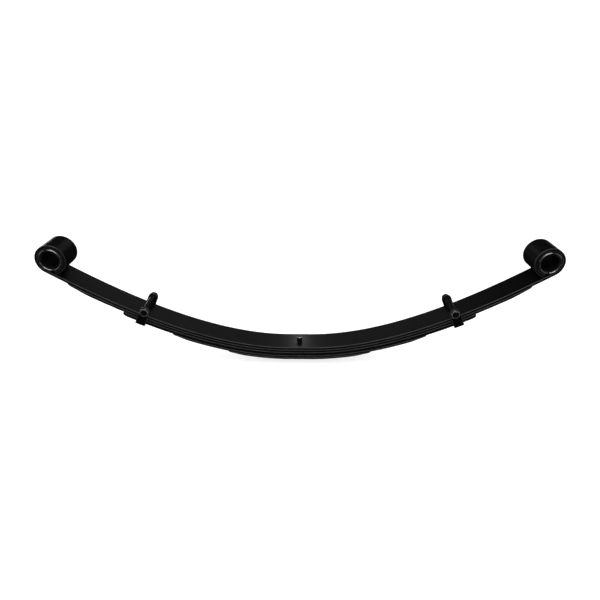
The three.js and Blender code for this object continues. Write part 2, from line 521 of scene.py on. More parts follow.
FINISHES: Mapping[str, Finish] = {
    "leaf_paint": Paint("leaf_paint_black"),
    # the clips' edges get more worn colour, and with it more painted highlight
    "clip_paint": Paint("clip_paint_black", roughness=0.36, rub=0.8),
    "bolt_paint": TurnedMetal(
        "blacked_steel",
        colour=(0.007, 0.007, 0.0075),
        worn=(0.42, 0.42, 0.425),
        roughness=0.34,
        metallic=0.75,
    ),
    "bush_rubber": Moulded(
        "bush_rubber_black", colour=(0.0015, 0.0015, 0.0016), bloom=(0.010, 0.010, 0.0102)
    ),
    "sleeve_steel": TurnedMetal("turned_steel"),
    "liner_polymer": Moulded(
        "liner_polymer_black",
        colour=(0.002, 0.002, 0.0021),
        bloom=(0.008, 0.008, 0.0082),
        roughness=0.55,
        specular=0.2,
        grain_depth=0.04 * MM,
    ),
}


# ---------------------------------------------------------------- mesh drafting


def link(name: str, data: bpy.types.ID) -> bpy.types.Object:
    """Makes an object from a mesh, a light or a camera and links it to the scene.

    Args:
        name: The object's name.
        data: What it shows.

    Returns:
        The linked object.
    """
    made = bpy.data.objects.new(name, data)
    bpy.context.scene.collection.objects.link(made)
    return made


class Draft:
    """Points and faces of a piece while it is drawn."""

    def __init__(self) -> None:
        """Starts empty."""
        self.points: list[Vector] = []
        self.edge_wear_and_highlight: list[float] = []
        self.faces: list[list[int]] = []

    def add_ring(self, points: Sequence[Vector], edge_wear_and_highlight: Sequence[float]) -> list[int]:
        """Adds a ring of points.

        Args:
            points: The ring's points in order.
            edge_wear_and_highlight: Each point's wear.

        Returns:
            Their indices.
        """
        start = len(self.points)
        self.points.extend(points)
        self.edge_wear_and_highlight.extend(edge_wear_and_highlight)
        return list(range(start, start + len(points)))

    def bridge(self, first: Sequence[int], second: Sequence[int]) -> None:
        """Joins two closed rings of the same count with quads.

        Args:
            first: The first ring.
            second: The second ring.
        """
        count = len(first)
        for i in range(count):
            j = (i + 1) % count
            self.faces.append([first[i], first[j], second[j], second[i]])

    def cap(self, ring: Sequence[int], flip: bool = False) -> None:
        """Closes a ring with one face."""
        self.faces.append(list(reversed(ring)) if flip else list(ring))

    def build(self, name: str) -> bpy.types.Object:
        """Makes the object, with its doubled points merged and its faces turned outwards.

        Args:
            name: The object's name.

        Returns:
            The object, linked to the scene, with its wear attribute set.
        """
        mesh = bpy.data.meshes.new(name)
        mesh.from_pydata(self.points, [], self.faces)
        layer = mesh.attributes.new(EDGE_WEAR_AND_HIGHLIGHT, "FLOAT", "POINT")
        layer.data.foreach_set("value", self.edge_wear_and_highlight)
        work = bmesh.new()
        work.from_mesh(mesh)
        bmesh.ops.remove_doubles(work, verts=work.verts, dist=1e-6)
        bmesh.ops.dissolve_degenerate(work, edges=work.edges, dist=1e-7)
        bmesh.ops.recalc_face_normals(work, faces=work.faces)
        work.to_mesh(mesh)
        work.free()
        return link(name, mesh)


def note_grain(piece: bpy.types.Object, offset: Vector) -> None:
    """Keeps every point's present place as its grain coordinates.

    Args:
        piece: The piece, still as flat stock or in its own lathe frame.
        offset: A shift that gives each piece its own stretch of the pattern.
    """
    mesh = piece.data
    layer = mesh.attributes.get(GRAIN) or mesh.attributes.new(GRAIN, "FLOAT_VECTOR", "POINT")
    values: list[float] = []
    for vertex in mesh.vertices:
        values.extend(vertex.co + offset)
    layer.data.foreach_set("vector", values)


def reshape(
    piece: bpy.types.Object, rule: Callable[[Vector], Vector], mirrored: bool = False
) -> None:
    """Moves every point of a piece by a rule.

    Args:
        piece: The piece.
        rule: Gives each point's new place.
        mirrored: Whether the rule mirrors the piece, so that its faces have to turn round.
    """
    for vertex in piece.data.vertices:
        vertex.co = rule(vertex.co.copy())
    if mirrored:
        piece.data.flip_normals()
    piece.data.update()


def smooth(piece: bpy.types.Object, sharpest: float = 38.0) -> None:
    """Shades a piece smooth, except across edges sharper than an angle in degrees."""
    piece.data.shade_smooth()
    piece.data.set_sharp_from_angle(angle=math.radians(sharpest))


def eased(corners: Sequence[Point2], ease: float, closed: bool) -> list[tuple[float, float, float]]:
    """Rounds the corners of an outline.

    Args:
        corners: The outline's corners.
        ease: How far back from each corner the rounding starts, in metres.
        closed: Whether the outline is a loop; an open one keeps its two ends.

    Returns:
        Points as (first, second, wear), where wear is 1 on a rounded corner.
    """
    result: list[tuple[float, float, float]] = []
    count, arc_steps = len(corners), 3
    for i, corner in enumerate(corners):
        if not closed and i in (0, count - 1):
            result.append((*corner, 0.0))
            continue
        here = Vector(corner)
        back = Vector(corners[i - 1]) - here
        ahead = Vector(corners[(i + 1) % count]) - here
        cut = min(ease, 0.35 * back.length, 0.35 * ahead.length)
        start = here + back.normalized() * cut
        end = here + ahead.normalized() * cut
        if back.length > 5 * cut:
            result.append((*(here + back.normalized() * 2 * cut), 0.0))
        for k in range(arc_steps + 1):
            t = k / arc_steps
            point = start * (1 - t) ** 2 + here * 2 * t * (1 - t) + end * t * t
            result.append((*point, 1.0))
        if ahead.length > 5 * cut:
            result.append((*(here + ahead.normalized() * 2 * cut), 0.0))
    return result


def stations(stops: Sequence[float], step: float) -> list[float]:
    """Evenly spaced places through a list of stops, at most a step apart.

    Args:
        stops: The places to go through, in order.
        step: The longest distance between two of them.

    Returns:
        The places.
    """
    places = [stops[0]]
    for start, end in zip(stops, stops[1:]):
        count = max(1, math.ceil((end - start) / step))
        places.extend(start + (end - start) * (i + 1) / count for i in range(count))
    return places


# ---------------------------------------------------------------- flat stock


@dataclass
class Ring:
    """One ring of a flat bar: its rim, and the depths of its two faces.

    Args:
        rim: Gives (along, half width) of the bar's outline at this ring, moved in by an inset.
        top: Depth of the upper face.
        bottom: Depth of the lower face.
        edge: Radius of the long edges.
    """

    rim: Callable[[float], Point2]
    top: float
    bottom: float
    edge: float


@dataclass
class FlatBar:
    """Flat steel stock: x runs along it, y across it and z is minus the depth below its top face.

    Args:
        rings: The bar's rings in order.
        arc_steps: Faces in each rounded long edge.
        support: How far in from the rounding the faces' first rows lie.
        capped: Whether the first and last ring are closed with a face.
        columns: Where the faces' inner rows lie, as shares of half the width.
    """

    rings: Sequence[Ring]
    arc_steps: int = 3
    support: float = 0.9 * MM
    capped: tuple[bool, bool] = (True, True)
    columns: Sequence[float] = (-1.0, -0.6, -0.22, 0.22, 0.6, 1.0)

    def section(self, ring: Ring) -> tuple[list[Vector], list[float]]:
        """One ring's points, once round the bar.

        Args:
            ring: The ring.

        Returns:
            The points and their wear.
        """
        points: list[Vector] = []
        edge_wear_and_highlight: list[float] = []

        def put(inset: float, side: float, depth: float, rubbed_and_highlit: float) -> None:
            """Adds the point on a side's rim, moved in by an inset.

            Args:
                inset: The distance in from the rim.
                side: 1 or -1, for the two rims.
                depth: Its depth.
                rubbed_and_highlit: Its edge mask, for worn paint with a painted edge highlight.
            """
            along, half = ring.rim(inset)
            points.append(Vector((along, side * half, -depth)))
            edge_wear_and_highlight.append(rubbed_and_highlit)

        def face(depth: float, sign: float) -> None:
            """Adds a face's inner columns, from one side to the other.

            Args:
                depth: The face's depth.
                sign: 1 for the upper face, -1 for the lower.
            """
            along, half = ring.rim(ring.edge + self.support)
            for share in self.columns:
                points.append(Vector((along, sign * share * half, -depth)))
                edge_wear_and_highlight.append(0.0)

        def corner(side: float, depth: float, sign: float, outward: bool) -> None:
            """Adds a rounded edge, from the face to the side or back.

            Args:
                side: 1 or -1, for the two rims.
                depth: The face's depth.
                sign: 1 for the upper face, -1 for the lower.
                outward: Whether it runs from the face to the side.
            """
            for k in range(self.arc_steps + 1):
                turn = math.pi / 2 * (k if outward else self.arc_steps - k) / self.arc_steps
                inset = ring.edge * (1 - math.sin(turn))
                # the middle of each rounded edge gets the paint's worn colour, which is partly a
                # painted highlight
                rubbed_and_highlit = 1.0 if 0 < k < self.arc_steps else 0.0
                put(inset, side, depth + sign * ring.edge * (1 - math.cos(turn)), rubbed_and_highlit)

        middle = (ring.top + ring.bottom) / 2
        face(ring.top, 1.0)
        corner(1.0, ring.top, 1.0, outward=True)
        put(0.0, 1.0, middle, 0.0)
        corner(1.0, ring.bottom, -1.0, outward=False)
        face(ring.bottom, -1.0)
        corner(-1.0, ring.bottom, -1.0, outward=True)
        put(0.0, -1.0, middle, 0.0)
        corner(-1.0, ring.top, 1.0, outward=False)
        return points, edge_wear_and_highlight

    def build(self, name: str) -> bpy.types.Object:
        """Makes the flat bar.

        Args:
            name: The object's name.

        Returns:
            The bar as an object.
        """
        draft = Draft()
        loops = [draft.add_ring(*self.section(ring)) for ring in self.rings]
        for first, second in zip(loops, loops[1:]):
            draft.bridge(first, second)
        if self.capped[0]:
            draft.cap(loops[0], flip=True)
        if self.capped[1]:
            draft.cap(loops[-1])
        return draft.build(name)


def punch(piece: bpy.types.Object, holes: Sequence[tuple[float, float, float]]) -> None:
    """Cuts round holes through flat stock.

    Args:
        piece: The stock, still flat.
        holes: Each hole's place along, place across and radius.
    """
    sides, reach = 48, 0.1
    half_step = Matrix.Rotation(math.pi / sides, 4, "Z")
    for along, across, radius in holes:
        work = bmesh.new()
        bmesh.ops.create_cone(
            work, cap_ends=True, segments=sides, radius1=radius, radius2=radius, depth=reach
        )
        place = Matrix.Translation((along, across, 0.0)) @ half_step
        bmesh.ops.transform(work, matrix=place, verts=work.verts)
        mesh = bpy.data.meshes.new("punch")
        work.to_mesh(mesh)
        work.free()
        tool = link("punch", mesh)
        cut = piece.modifiers.new("punch", "BOOLEAN")
        cut.operation, cut.solver, cut.object = "DIFFERENCE", "EXACT", tool
        bake_modifiers(piece)
        bpy.data.objects.remove(tool)
        bpy.data.meshes.remove(mesh)


def bake_modifiers(piece: bpy.types.Object) -> None:
    """Replaces a piece's mesh by the result of its modifiers.

    Args:
        piece: The piece.
    """
    graph = bpy.context.evaluated_depsgraph_get()
    result = bpy.data.meshes.new_from_object(piece.evaluated_get(graph))
    old = piece.data
    piece.modifiers.clear()
    piece.data = result
    bpy.data.meshes.remove(old)
    result.name = piece.name


# ---------------------------------------------------------------- turned and hexagonal stock


@dataclass
class Turning:
    """A solid made of rows round an axis, which is its own Z.

    Args:
        rows: Each row's rule and wear.
        steps: Points round the axis.
        tube: Whether the last row joins the first, as in a tube.
    """

    rows: Sequence[tuple[Row, float]]
    steps: int = 96
    tube: bool = False

    def build(self, name: str) -> bpy.types.Object:
        """Makes the solid in its own frame.

        Args:
            name: The object's name.

        Returns:
            The solid as an object.
        """
        draft = Draft()
        loops = []
        for rule, edge_wear_and_highlight in self.rows:
            ring = []
            for i in range(self.steps):
                angle = 2 * math.pi * i / self.steps
                radius, height = rule(angle)
                ring.append(Vector((radius * math.cos(angle), radius * math.sin(angle), height)))
            loops.append(draft.add_ring(ring, [edge_wear_and_highlight] * self.steps))
        for first, second in zip(loops, loops[1:]):
            draft.bridge(first, second)
        if self.tube:
            draft.bridge(loops[-1], loops[0])
        return draft.build(name)


def level(radius: float, height: float) -> Row:
    """A round row at one height."""
    return lambda _angle: (radius, height)


def plain_rows(profile: Sequence[tuple[float, float, float]]) -> list[tuple[Row, float]]:
    """Rows of constant radius from (radius, height, wear) points."""
    return [(level(radius, height), edge_wear_and_highlight) for radius, height, edge_wear_and_highlight in profile]


@dataclass(frozen=True)
class Hexagon:
    """The six flats of a bolt head or nut, with slightly broken corners and a chamfered end.

    Args:
        height: Height along the axis.
        across_flats: Distance between two flats.
        sharpness: How sharp the corners are; a larger number is sharper.
        chamfer_angle: Slope of the end's chamfer, in radians.
        washer: Height of the round washer face under it.
        ease: Radius of the broken edges.
        countersink: Width and depth of the break round the hole.
    """

    height: float
    across_flats: float = 17 * MM
    sharpness: float = 46.0
    chamfer_angle: float = math.radians(28)
    washer: float = 0.5 * MM
    ease: float = 0.16 * MM
    countersink: float = 0.5 * MM

    def flat_radius(self, angle: float) -> float:
        """The hexagon's radius in a direction.

        Args:
            angle: The direction round the axis, in radians.

        Returns:
            The radius.
        """
        total = 0.0
        for k in range(6):
            total += max(0.0, math.cos(angle - math.pi / 3 * k)) ** self.sharpness
        return self.across_flats / 2 * total ** (-1 / self.sharpness)

    def rows(self, hole: float = 0.0) -> list[tuple[Row, float]]:
        """Rows from the washer face at height 0 up to the end face.

        Args:
            hole: Radius of the hole through it, or 0 for a solid head.

        Returns:
            Rows for a Turning.
        """
        land = self.across_flats / 2 * 0.96
        slope = math.tan(self.chamfer_angle)
        ease, top = self.ease, self.height

        def flat(height: float, inset: float = 0.0) -> Row:
            """A row on the six flats at a height."""
            return lambda angle: (self.flat_radius(angle) - inset, height)

        def chamfered(offset: float, inset: float) -> Row:
            """A row where the flats meet the chamfer, moved down by an offset.

            Args:
                offset: The distance down the axis.
                inset: The distance in from the rim.

            Returns:
                The row.
            """

            def rule(angle: float) -> Point2:
                """Radius and height of the row in a direction.

                Args:
                    angle: The direction round the axis, in radians.

                Returns:
                    The radius and the height.
                """
                radius = self.flat_radius(angle)
                drop = max(0.0, radius - land) * slope
                return radius - inset, top - drop - offset

            return rule

        foot = [(hole, 0.0, 0.0), (land - ease, 0.0, 0.4), (land, ease, 0.6)]
        end = [(land + ease, top - slope * ease, 0.6), (land - 2 * ease, top, 0.5)]
        if hole:
            middle = [(hole + self.countersink, top, 0.5), (hole, top - self.countersink, 0.5)]
        else:
            middle = [(land * 0.5, top, 0.0), (0.0, top, 0.0)]
        return [
            *plain_rows([*foot, (land, self.washer, 0.0)]),
            (flat(self.washer, ease), 1.0),
            (flat(self.washer + ease), 1.0),
            (flat(top * 0.4), 0.0),
            (flat(top * 0.6), 0.0),
            (chamfered(ease, 0.0), 1.0),
            (chamfered(0.0, ease), 1.0),
            *plain_rows([*end, (land * 0.86, top, 0.0), *middle]),
        ]


@dataclass(frozen=True)
class Thread:
    """A cut screw thread with a chamfered end.

    Args:
        radius: Major radius.
        pitch: Distance from crest to crest.
        depth: Depth of the groove.
        rows_per_pitch: Rows in each pitch.
    """

    radius: float = 5.0 * MM
    pitch: float = 1.5 * MM
    depth: float = 0.8 * MM
    rows_per_pitch: int = 8

    def rows(self, start: float, end: float, chamfer: float) -> list[tuple[Row, float]]:
        """Rows from a start height to an end height, then the flat end.

        Args:
            start: Where the thread runs out into the plain shank.
            end: The bolt's end.
            chamfer: Width of the end's chamfer.

        Returns:
            Rows for a Turning.
        """
        count = max(4, round(abs(end - start) / self.pitch * self.rows_per_pitch))

        def row(height: float) -> Row:
            """The thread's outline at one height.

            Args:
                height: The height along the axis.

            Returns:
                The row.
            """
            fade_in = min(1.0, abs(height - start) / self.pitch)
            limit = self.radius - max(0.0, chamfer - abs(end - height))

            def rule(angle: float) -> Point2:
                """Radius and height in a direction.

                Args:
                    angle: The direction round the axis, in radians.

                Returns:
                    The radius and the height.
                """
                phase = (height / self.pitch - angle / (2 * math.pi)) % 1.0
                groove = self.depth * fade_in * (1 - abs(2 * phase - 1))
                return min(limit, self.radius - groove), height

            return rule

        rows = [(row(start + (end - start) * i / count), 0.25) for i in range(count + 1)]
        tip = self.radius - chamfer
        return [*rows, *plain_rows([(tip * 0.5, end, 0.0), (0.0, end, 0.0)])]


# ---------------------------------------------------------------- placing pieces


@dataclass(frozen=True)
class Role:
    """Where a piece belongs.

    Args:
        node: The CAD node it stands for.
        slot: The record's material slot it is finished from.
        body: The body it rides on.
    """

    node: str
    slot: str
    body: str


class Assembler:
    """Dresses pieces, fastens them to their bodies and reports them."""

    def __init__(self) -> None:
        """Makes the materials and starts the count."""
        self.materials = {slot: finish.material() for slot, finish in FINISHES.items()}
        self.count = 0

    def grain_offset(self) -> Vector:
        """A new stretch of the finish's pattern for the next piece."""
        self.count += 1
        return Vector((1.37 * self.count, 0.61 * self.count, 0.29 * self.count))

    def dress(self, piece: bpy.types.Object, role: Role) -> None:
        """Gives a piece its finish and takes its CAD node's place.

        Args:
            piece: The piece.
            role: Where it belongs.
        """
        piece.data.materials.clear()
        piece.data.materials.append(self.materials[role.slot])
        smooth(piece)
        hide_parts(role.node)

    def fasten(self, piece: bpy.types.Object, role: Role) -> None:
        """Dresses a stiff piece and lets it ride on its body.

        Args:
            piece: The piece.
            role: Where it belongs.
        """
        self.dress(piece, role)
        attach(piece, role.body)
        self.report(piece, role)

    def flex(
        self, piece: bpy.types.Object, role: Role, arm: str
    ) -> None:
        """Dresses a piece, bakes its placing into its mesh and reports it.

        Args:
            piece: The piece.
            role: Its role, for its finish and its CAD node.
            arm: Not used.
        """
        self.dress(piece, role)
        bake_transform(piece)
        self.report(piece, role)

    def turn(self, turning: Turning, ending: str, role: Role, where: Matrix) -> None:
        """Makes a turned piece, sets it in place and fastens it.

        Args:
            turning: The solid, whose axis is its own Z.
            ending: The last word of the object's name, after its CAD node's.
            role: Where it belongs.
            where: From the solid's own frame to the spring's.
        """
        piece = turning.build(f"{role.node}_{ending}")
        note_grain(piece, self.grain_offset())
        reshape(piece, lambda point: where @ point)
        self.fasten(piece, role)

    def report(self, piece: bpy.types.Object, role: Role) -> None:
        """Logs a piece, its size of mesh and how far it stands outside its CAD node.

        Args:
            piece: The piece.
            role: Where it belongs.
        """
        low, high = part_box(role.node)
        corners = [piece.matrix_world @ vertex.co for vertex in piece.data.vertices]
        proud = max(
            max(low[a] - min(c[a] for c in corners), max(c[a] for c in corners) - high[a])
            for a in range(3)
        )
        log.info(
            "%s for %s: %d faces, %.2f mm proud of its CAD box",
            piece.name,
            role.node,
            len(piece.data.polygons),
            proud / MM,
        )


# ---------------------------------------------------------------- the spring's shape


@dataclass(frozen=True)
class Camber:
    """The main leaf's top curve: flat over the seat, then rising to the eyes.

    Args:
        seat_half: Half the flat length.
        gain: How fast the curve rises, per metre.
        fade: How slowly the curve opens out, in metres.
    """

    seat_half: float = 25 * MM
    gain: float = 1.018
    fade: float = 1.211

    def height(self, station: float) -> float:
        """Height of the curve at a station."""
        run = max(0.0, abs(station) - self.seat_half)
        return self.gain * run * run / (1 + run / self.fade)

    def tilt(self, station: float) -> float:
        """Slope of the curve at a station, in radians.

        Args:
            station: The distance from the centre bolt along X.

        Returns:
            The slope.
        """
        run = max(0.0, abs(station) - self.seat_half)
        opening = 1 + run / self.fade
        slope = self.gain * run * (opening + 1) / (opening * opening)
        return math.copysign(math.atan(slope), station)

    def below(self, station: float, depth: float) -> Point2:
        """(x, z) of the point at a depth square below the curve."""
        tilt = self.tilt(station)
        return station + depth * math.sin(tilt), self.height(station) - depth * math.cos(tilt)


@dataclass(frozen=True)
class LeafSize:
    """One leaf's sizes.

    Args:
        node: Its CAD node.
        depth: Depth of its top face below the main leaf's top face.
        thickness: Its thickness.
        reach: The station where it ends.
        taper: Length of its tapered end, or 0.
        tip: Thickness at its very end.
        corner: Radius of its end's corners seen from above.
        rivet_station: The station of its rivet hole, or 0.
    """

    node: str
    depth: float
    thickness: float
    reach: float
    taper: float = 0.0
    tip: float = 0.0
    corner: float = 4 * MM
    rivet_station: float = 0.0


@dataclass
class LeafPack:
    """The five leaves, each made as two halves that meet on the centre line.

    Args:
        camber: The pack's curve.
        main: The main leaf's sizes.
        leaves: The lower leaves' sizes.
        edge: Radius of the leaves' rolled edges.
        bore: Inner radius of the rolled eyes.
        wrap: Angle of the eye's wrap, in radians.
        step: Longest distance between two rings.
        eye_step: Longest distance between two rings of an eye.
        taper_step: Longest distance between two rings of a tapered end.
        hole: Radius of the centre bolt's hole.
        rivet_hole: Radius of the rivets' holes.
        end_ease: Radius of the ends' edges.
        long_taper: Length from which a tapered end is partly eased in.
        flex_from: Not used.
        flex_to: Not used.
    """

    camber: Camber = Camber()
    main: LeafSize = LeafSize("main_leaf", 0.0, 6.2 * MM, 542 * MM, corner=0.0)
    leaves: Sequence[LeafSize] = (
        LeafSize("second_leaf", 6.5 * MM, 6.2 * MM, 501 * MM, 45 * MM, 2.6 * MM, 9 * MM),
        LeafSize(
            "third_leaf", 13.0 * MM, 8.4 * MM, 386 * MM, 10 * MM, 6.6 * MM, 5 * MM, CLIP_STATION
        ),
        LeafSize("fourth_leaf", 21.7 * MM, 5.0 * MM, 281 * MM, 36 * MM, 2.0 * MM, 6 * MM),
        LeafSize("fifth_leaf", 27.0 * MM, 4.6 * MM, 159 * MM, 36 * MM, 2.0 * MM, 6 * MM),
    )
    edge: float = 1.3 * MM
    bore: float = 26.5 * MM
    wrap: float = math.radians(321)
    step: float = 8 * MM
    eye_step: float = 2.2 * MM
    taper_step: float = 5 * MM
    hole: float = 5.3 * MM
    rivet_hole: float = 4.3 * MM
    end_ease: float = 0.7 * MM
    long_taper: float = 20 * MM
    flex_from: float = 45 * MM
    flex_to: float = 330 * MM

    @cached_property
    def half_width(self) -> float:
        """Half the leaves' width, from the CAD main leaf."""
        low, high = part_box(self.main.node)
        return (high.y - low.y) / 2

    @cached_property
    def eye_centre(self) -> Point2:
        """(x, z) of the right eye's axis."""
        return self.camber.below(self.main.reach, -self.bore)

    def bar_ring(self, along: float, half: float, top: float, bottom: float) -> Ring:
        """A ring of constant width square across the bar."""
        edge = min(self.edge, 0.42 * (bottom - top))
        return Ring(lambda inset: (along, max(0.0, half - inset)), top, bottom, edge)

    def end_rings(self, along: float, half: float, top: float, bottom: float) -> list[Ring]:
        """Rings that round a bar's end off.

        Args:
            along: The end's place.
            half: Half the width there.
            top: Depth of the upper face.
            bottom: Depth of the lower face.

        Returns:
            Four rings that shrink towards the end face.
        """
        ease, arc_steps = min(self.end_ease, 0.3 * (bottom - top)), 3
        rings = []
        for k in range(arc_steps + 1):
            turn = math.pi / 2 * k / arc_steps
            inset = ease * (1 - math.cos(turn))
            place = along - ease * (1 - math.sin(turn))
            rings.append(self.bar_ring(place, half - inset, top + inset, bottom - inset))
        return rings

    def main_bar(self) -> FlatBar:
        """Half of the main leaf as flat stock, with the length that the eye takes up.

        Returns:
            The bar.
        """
        flat_end = self.main.reach + self.bore * self.wrap
        straight = stations([0.0, self.camber.seat_half, self.main.reach], self.step)
        rolled = stations([self.main.reach, flat_end - 2 * self.end_ease], self.eye_step)[1:]
        rings = [
            self.bar_ring(place, self.half_width, 0.0, self.main.thickness)
            for place in [*straight, *rolled]
        ]
        rings.extend(self.end_rings(flat_end, self.half_width, 0.0, self.main.thickness))
        return FlatBar(rings)

    def lower_bar(self, leaf: LeafSize) -> FlatBar:
        """Half of a lower leaf as flat stock.

        Args:
            leaf: The leaf's sizes.

        Returns:
            The bar, with its tapered end and rounded corners.
        """

        def thickness_at(place: float) -> float:
            """Thickness of the leaf at a place.

            Args:
                place: The distance along the leaf.

            Returns:
                The thickness.
            """
            share = min(1.0, max(0.0, (place - leaf.reach + leaf.taper) / leaf.taper))
            eased_share = share * share * (3 - 2 * share) if leaf.taper > self.long_taper else share
            return leaf.thickness - (leaf.thickness - leaf.tip) * (0.6 * share + 0.4 * eased_share)

        def half_at(place: float) -> float:
            """Half the leaf's width at a place."""
            past = max(0.0, place - corner_start)
            return self.half_width - leaf.corner + math.sqrt(max(0.0, leaf.corner**2 - past**2))

        corner_start = leaf.reach - leaf.corner
        corner_end = leaf.reach - 0.12 * leaf.corner
        stops = [0.0, self.camber.seat_half, leaf.reach - max(leaf.taper, leaf.corner)]
        places = stations(stops, self.step)
        if leaf.taper > leaf.corner:
            places += stations([places[-1], corner_start], self.taper_step)[1:]
        places += stations([corner_start, corner_end], leaf.corner / 5)[1:]
        top = leaf.depth
        rings = [self.bar_ring(p, half_at(p), top, top + thickness_at(p)) for p in places]
        end_half = half_at(corner_end) - 0.35 * leaf.corner
        end_rings = self.end_rings(leaf.reach, end_half, top, top + thickness_at(leaf.reach))
        return FlatBar([*rings, *end_rings])

    def curve(self, point: Vector) -> Vector:
        """Takes a point of the flat right-hand stock to its place on the cambered spring.

        Args:
            point: The point.

        Returns:
            Its place on the spring.
        """
        along, across, depth = point.x, point.y, -point.z
        if along <= self.main.reach:
            x, z = self.camber.below(along, depth)
            return Vector((x, across, z))
        centre_x, centre_z = self.eye_centre
        angle = self.camber.tilt(self.main.reach) - math.pi / 2
        angle += (along - self.main.reach) / self.bore
        radius = self.bore + depth
        x, z = centre_x + radius * math.cos(angle), centre_z + radius * math.sin(angle)
        return Vector((x, across, z))

    def half(self, leaf: LeafSize, side: Side, assembler: Assembler) -> None:
        """Makes one half of a leaf.

        Args:
            leaf: The leaf's sizes.
            side: Which end of the spring.
            assembler: What dresses it.
        """
        bar = self.main_bar() if leaf is self.main else self.lower_bar(leaf)
        piece = bar.build(f"{leaf.node}_{side.label}_half")
        holes = [(0.0, 0.0, self.hole)]
        if leaf.rivet_station:
            holes.append((leaf.rivet_station, 0.0, self.rivet_hole))
        punch(piece, holes)
        note_grain(piece, assembler.grain_offset())

        def rule(point: Vector) -> Vector:
            """Curves the point, then mirrors it for the left half.

            Args:
                point: The point.

            Returns:
                Its new place.
            """
            curved = self.curve(point)
            curved.x *= side.value
            return curved

        reshape(piece, rule, mirrored=side is Side.LEFT)
        assembler.flex(piece, Role(leaf.node, "leaf_paint", ROOT_BODY), side.arm)

    def build(self, assembler: Assembler) -> None:
        """Makes all ten half leaves.

        Args:
            assembler: What dresses the pieces.
        """
        for leaf in (self.main, *self.leaves):
            for side in Side:
                self.half(leaf, side, assembler)


@dataclass
class CentreBolt:
    """The bolt that ties the leaves together, with its round head up and its nut below.

    Args:
        radius: Shank radius.
        head_radius: Radius of the round head.
        head_chamfer: Chamfer of the round head.
        ease: Radius of the turned corners.
        chamfer: Chamfer of the threaded end.
        hole_play: Play of the bolt in its nut.
    """

    radius: float = 5 * MM
    head_radius: float = 6 * MM
    head_chamfer: float = 1.2 * MM
    ease: float = 0.35 * MM
    chamfer: float = 1 * MM
    hole_play: float = 0.3 * MM

    def build(self, assembler: Assembler) -> None:
        """Makes the bolt and the nut.

        Args:
            assembler: What dresses and fastens the pieces.
        """
        low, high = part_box("centre_bolt")
        nut_low, nut_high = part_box("centre_nut")
        head = [
            (0.0, high.z),
            (self.head_radius - self.head_chamfer, high.z),
            (self.head_radius, high.z - self.head_chamfer),
            (self.head_radius, 0.0),
            (self.radius, 0.0),
            (self.radius, nut_high.z),
        ]
        rows = plain_rows(eased(head, self.ease, closed=False))
        rows += Thread(self.radius).rows(nut_high.z - 0.5 * MM, low.z, self.chamfer)
        bolt = Role("centre_bolt", "bolt_paint", ROOT_BODY)
        assembler.turn(Turning(rows), "turned", bolt, Matrix.Identity(4))

        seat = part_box("fifth_leaf")[0].z
        down = Matrix.Translation((0.0, 0.0, seat)) @ Matrix.Rotation(math.pi, 4, "X")
        rows = Hexagon(seat - nut_low.z).rows(self.radius + self.hole_play)
        nut = Role("centre_nut", "bolt_paint", ROOT_BODY)
        assembler.turn(Turning(rows, HEX_STEPS, tube=True), "hexagon", nut, down)


@dataclass(frozen=True)
class BushRing:
    """One ring of a bush, with both ends chamfered.

    Args:
        part: The last word of its CAD node.
        slot: Its material slot.
        radii: Inner radius, the end face's two radii, and outer radius.
        chamfer: Depth of the chamfers.
        ease: Rounding of its corners.
        turns: Whether it turns with the bush's core.
    """

    part: str
    slot: str
    radii: tuple[float, float, float, float]
    chamfer: float
    ease: float
    turns: bool

    def outline(self, half: float) -> list[Point2]:
        """The ring's closed outline, as (radius, height), from half its length.

        Args:
            half: Half the ring's length.

        Returns:
            The corners.
        """
        bore, inner, outer, rim = self.radii
        low, high = -half + self.chamfer, half - self.chamfer
        return [
            (bore, low), (inner, -half), (outer, -half), (rim, low),
            (rim, high), (outer, half), (inner, half), (bore, high),
        ]


@dataclass
class Bush:
    """One eye's bush: rubber ring, steel sleeve and liner.

    Args:
        side: Which eye.
        pack: The leaves, for the eye's centre.
        rings: The rings, from the outside in.
    """

    side: Side
    pack: LeafPack
    rings: Sequence[BushRing] = (
        BushRing(
            "rubber", "bush_rubber",
            (24.2 * MM, 24.9 * MM, 25.8 * MM, 26.2 * MM), 1.1 * MM, 0.3 * MM, False,
        ),
        BushRing(
            "sleeve", "sleeve_steel",
            (21.4 * MM, 21.9 * MM, 23.4 * MM, 23.9 * MM), 0.5 * MM, 0.18 * MM, True,
        ),
        BushRing(
            "liner", "liner_polymer",
            (18.5 * MM, 19.2 * MM, 20.4 * MM, 21.1 * MM), 0.7 * MM, 0.25 * MM, True,
        ),
    )

    def build(self, assembler: Assembler) -> None:
        """Makes the rubber, the sleeve and the liner, on an axis along Y.

        Args:
            assembler: What dresses and fastens the pieces.
        """
        x, z = self.pack.eye_centre
        axis = Matrix.Translation((self.side.value * x, 0.0, z)) @ QUARTER_TURN
        for ring in self.rings:
            node = f"{self.side.label}_bush_{ring.part}"
            outline = ring.outline(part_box(node)[1].y)
            rows = plain_rows(eased(outline, ring.ease, closed=True))
            role = Role(node, ring.slot, self.side.core if ring.turns else self.side.arm)
            assembler.turn(Turning(rows, 128, tube=True), "ring", role, axis)


